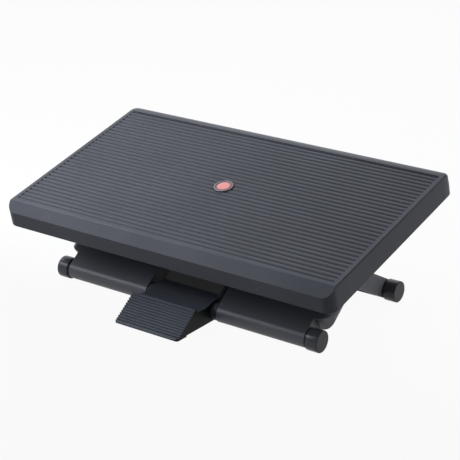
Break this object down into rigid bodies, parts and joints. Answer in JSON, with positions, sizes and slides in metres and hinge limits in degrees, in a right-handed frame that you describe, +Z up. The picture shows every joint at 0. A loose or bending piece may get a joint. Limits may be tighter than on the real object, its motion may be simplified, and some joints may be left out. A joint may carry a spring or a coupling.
{
  "type": "tilting under desk footrest",
  "caption": "Under desk footrest: a ribbed plastic platform on crossing moulded legs with friction brakes, set in height and tilt and released by a foot pedal.",
  "frame": {"origin": "on the floor, under the middle of the bounding box", "axes": "+X along the platform's width, to the right for the user; +Y away from the user, towards the higher back edge; +Z up"},
  "size_m": [0.5616, 0.3502, 0.1967],
  "materials": {
    "platform_plastic": "fine moulded texture, charcoal grey",
    "leg_plastic": "satin, near black",
    "pedal_plastic": "satin, charcoal grey",
    "cap_plastic": "smooth, near black",
    "badge_red": "smooth, light red",
    "badge_grey": "satin, mid grey",
    "coated_steel": "dark coating",
    "steel": "zinc plated",
    "brake_lining": "dull brown friction lining",
    "cable_sheath": "smooth, black"
  },
  "bodies": {
    "platform": {"platform_tray": "platform_plastic", "badge_ring": "badge_grey", "badge_disc": "badge_red", "brake_housing": "coated_steel", "platform_release_cable": "cable_sheath", "front_saddle_left": "leg_plastic", "front_saddle_right": "leg_plastic", "rear_saddle_left": "leg_plastic", "rear_saddle_right": "leg_plastic", "front_saddle_left_screw_front": "steel", "front_saddle_left_screw_back": "steel", "front_saddle_right_screw_front": "steel", "front_saddle_right_screw_back": "steel", "rear_saddle_left_screw_front": "steel", "rear_saddle_left_screw_back": "steel", "rear_saddle_right_screw_front": "steel", "rear_saddle_right_screw_back": "steel", "housing_screw_front_left": "steel", "housing_screw_front_right": "steel", "housing_screw_back_left": "steel", "housing_screw_back_right": "steel", "front_brake_spring": "steel", "rear_brake_spring": "steel"},
    "front_leg": {"front_leg": "leg_plastic", "leg_release_cable": "cable_sheath", "rear_shaft": "steel", "rear_brake_drum": "coated_steel", "rear_ring_right": "coated_steel", "rear_ring_left": "coated_steel", "front_foot_tube": "steel", "front_foot_cap_right": "cap_plastic", "front_foot_cap_left": "cap_plastic", "pedal_spring": "steel"},
    "rear_leg": {"rear_leg": "leg_plastic", "front_shaft": "steel", "front_brake_drum": "coated_steel", "front_ring_right": "coated_steel", "front_ring_left": "coated_steel", "rear_foot_tube": "steel", "rear_foot_cap_right": "cap_plastic", "rear_foot_cap_left": "cap_plastic"},
    "pedal": {"pedal": "pedal_plastic"},
    "front_shoe": {"front_brake_shoe": "brake_lining"},
    "rear_shoe": {"rear_brake_shoe": "brake_lining"}
  },
  "joints": [
    {"name": "front_leg_hinge", "type": "hinge", "parent": "platform", "child": "front_leg", "pos_m": [0, 0.09027, 0.1491], "axis": [1, 0, 0], "range_deg": [-9.4, 12]},
    {"name": "rear_leg_hinge", "type": "hinge", "parent": "platform", "child": "rear_leg", "pos_m": [0, -0.0555, 0.11371], "axis": [-1, 0, 0], "range_deg": [-26, 3]},
    {"name": "pedal_hinge", "type": "hinge", "parent": "front_leg", "child": "pedal", "pos_m": [0, -0.08173, 0.0158], "axis": [1, 0, 0], "range_deg": [0, 1.6], "stiffness_Nm_per_rad": 4, "springref_deg": -5.73},
    {"name": "front_shoe_slide", "type": "slide", "parent": "platform", "child": "front_shoe", "axis": [0, 0.9718, 0.2359], "range_m": [0, 0.001]},
    {"name": "rear_shoe_slide", "type": "slide", "parent": "platform", "child": "rear_shoe", "axis": [0, -0.9718, -0.2359], "range_m": [0, 0.001]}
  ],
  "couplings": [
    {"joint": "front_shoe_slide", "follows": "pedal_hinge", "m_per_rad": 0.035},
    {"joint": "rear_shoe_slide", "follows": "pedal_hinge", "m_per_rad": 0.035}
  ]
}
